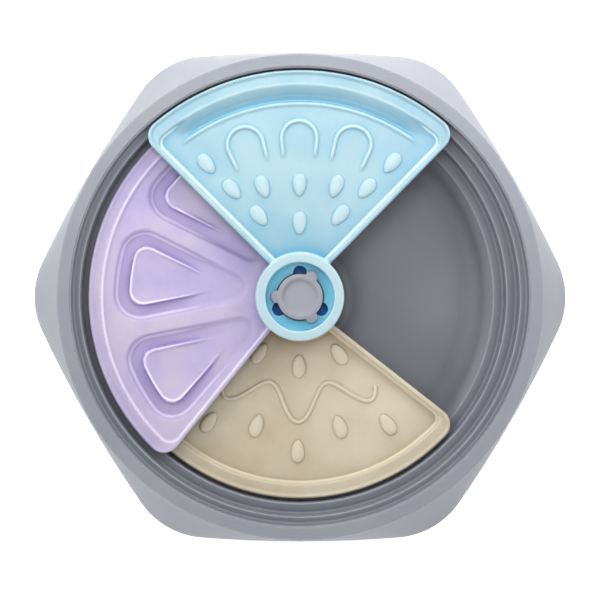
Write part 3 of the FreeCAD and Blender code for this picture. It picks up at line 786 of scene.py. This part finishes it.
# Per moulding: the hollow tone is painted shade, the edge and relief tones are painted highlights, the well
# tone is painted light.
GREY = surface("grey_moulding", srgb(143, 145, 151), srgb(139, 141, 149), 0.42, GRAIN, 0.12, shine=0.25,
               hollow_shade=srgb(90, 93, 102), edge=srgb(166, 168, 174))
KNOB_GREY = surface("knob_moulding_grey", srgb(146, 147, 155), srgb(142, 144, 152), 0.40, GRAIN, 0.10,
                    shine=0.35, hollow_shade=srgb(120, 121, 128), edge=srgb(170, 171, 178))
BLUE = surface("blue_moulding", srgb(151, 174, 182), srgb(134, 165, 178), 0.36, GRAIN, 0.08, soft=0.10,
               shine=0.35, hollow_shade=srgb(82, 157, 186), edge=srgb(200, 217, 223), well_light=srgb(134, 202, 222),
               high=srgb(164, 184, 190))
PURPLE = surface("purple_moulding", srgb(180, 172, 190), srgb(163, 156, 187), 0.40, GRAIN, 0.08, soft=0.10,
                 shine=0.22, hollow_shade=srgb(143, 131, 180), edge=srgb(206, 199, 218), well_light=srgb(76, 160, 252),
                 high=srgb(215, 209, 226))
BEIGE = surface("beige_moulding", srgb(190, 183, 166), srgb(177, 166, 145), 0.42, GRAIN, 0.08, soft=0.10,
                shine=0.25, hollow_shade=srgb(154, 136, 113), edge=srgb(202, 194, 176), high=srgb(192, 184, 167))
RUBBER = surface("foot_rubber_black", srgb(46, 46, 50), srgb(38, 38, 42), 0.75, 1800, 0.3)
ZINC = surface("zinc_steel", srgb(190, 192, 196), srgb(176, 178, 184), 0.30, 3200, 0.15, metal=1.0)


def dress(obj, material):
    """Give the object this material alone."""
    obj.data.materials.clear()
    obj.data.materials.append(material)


for node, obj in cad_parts.items():
    if node.startswith("foot_"):
        material = RUBBER
    elif "screw" in node or "washer" in node:
        material = ZINC
    else:
        material = GREY
    for slot in obj.material_slots:
        slot.material = material

# ---- pieces ----
# the fourth entry gives the relief heights where each cover's painted highlight starts and is full
COVERS = (
    ("melon_cover", melon, MELON_LOOPS, (0.0, 0.9), BLUE, "cover_top", "top_cover", "blue_plastic"),
    ("citrus_cover", citrus, CITRUS_LOOPS, (2.0, 3.1), PURPLE, "cover_middle", "middle_cover",
     "purple_plastic"),
    ("berry_cover", berry, BERRY_LOOPS, (0.0, 0.9), BEIGE, "cover_bottom", "bottom_cover", "beige_plastic"),
)
for level, (name, relief, loops, pale, material, body, node, slot) in enumerate(COVERS):
    piece = cover(name, level, relief, loops, pale)
    dress(piece, material)
    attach(piece, body)
    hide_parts(node)

knob_piece = knob()
dress(knob_piece, KNOB_GREY)
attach(knob_piece, "knob")
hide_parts("lock_knob")

# ---- floor, light, camera ----
FAR_OUT = 40.0
floor_corners = [(x * FAR_OUT, y * FAR_OUT, 0) for x, y in ((-1, -1), (1, -1), (1, 1), (-1, 1))]
floor_mesh = bpy.data.meshes.new("floor")
floor_mesh.from_pydata(floor_corners, [], [(0, 1, 2, 3)])
floor = bpy.data.objects.new("floor", floor_mesh)
bpy.context.scene.collection.objects.link(floor)
paper = surface("pale_floor", srgb(242, 242, 243), srgb(240, 240, 242), 0.8, 60, 0.0)
paper.node_tree.nodes["Principled BSDF"].inputs["Emission Strength"].default_value = 0.3
dress(floor, paper)

BRIGHTEST = 4.0
# height in the room, from 0 below to 1 above, and brightness there
ROOM = ((0.0, 1.0), (0.04, 0.8), (0.12, 0.4), (0.2, 0.2), (0.26, 0.3), (0.36, 2.6), (0.66, 2.6),
        (0.76, 0.12), (0.93, 0.12), (0.96, 1.8), (1.0, 1.8))
BRIGHTER_WAY = (-0.20, 0.22, 0.0)


def studio_world():
    """White studio: a bright band round the room, a bright ceiling panel and dimmer walls between them."""
    world = bpy.data.worlds.new("studio")
    bpy.context.scene.world = world
    world.use_nodes = True
    nodes, links = world.node_tree.nodes, world.node_tree.links
    backdrop = nodes["Background"]
    ways = nodes.new("ShaderNodeTexCoord")
    split = nodes.new("ShaderNodeSeparateXYZ")
    links.new(ways.outputs["Generated"], split.inputs["Vector"])
    band = nodes.new("ShaderNodeValToRGB")
    ramp = band.color_ramp
    for height, brightness in ROOM:
        ends = {0.0: 0, 1.0: len(ramp.elements) - 1}
        element = ramp.elements[ends[height]] if height in ends else ramp.elements.new(height)
        share = brightness / BRIGHTEST
        element.color = (share, share, share, 1)
    links.new(split.outputs["Z"], band.inputs["Fac"])
    side = nodes.new("ShaderNodeVectorMath")
    side.operation = "DOT_PRODUCT"
    side.inputs[1].default_value = BRIGHTER_WAY
    links.new(ways.outputs["Generated"], side.inputs[0])
    add = nodes.new("ShaderNodeMath")
    add.operation = "ADD"
    add.inputs[1].default_value = 1.0
    links.new(side.outputs["Value"], add.inputs[0])
    power = nodes.new("ShaderNodeMath")
    power.operation = "MULTIPLY"
    power.inputs[1].default_value = BRIGHTEST
    links.new(add.outputs["Value"], power.inputs[0])
    links.new(band.outputs["Color"], backdrop.inputs["Color"])
    links.new(power.outputs["Value"], backdrop.inputs["Strength"])


studio_world()
bpy.context.scene.view_settings.view_transform = "Standard"
bpy.context.scene.view_settings.gamma = 0.8


def lamp(name, location, target, size, power, spread=180):
    """Rectangular lamp that faces its target."""
    light = bpy.data.lights.new(name, "AREA")
    light.shape = "RECTANGLE"
    light.size, light.size_y = size
    light.energy = power
    light.spread = math.radians(spread)
    obj = bpy.data.objects.new(name, light)
    bpy.context.scene.collection.objects.link(obj)
    obj.location = location
    obj.rotation_mode = "QUATERNION"
    obj.rotation_quaternion = (Vector(target) - Vector(location)).to_track_quat("-Z", "Y")


lamp("back_softbox", (0.10, 0.46, 0.20), (0, 0.05, 0.04), (0.5, 0.15), 0.9)
lamp("top_softbox", (0, 0.20, 0.5), (0, 0.12, 0), (0.45, 0.2), 0.14, 50)

# a long lens that looks straight down
camera = bpy.data.cameras.new("camera")
camera.sensor_width = 36
camera.lens = 153.9
viewer = bpy.data.objects.new("camera", camera)
bpy.context.scene.collection.objects.link(viewer)
viewer.location = (0, -0.0018, 1.5)
bpy.context.scene.camera = viewer
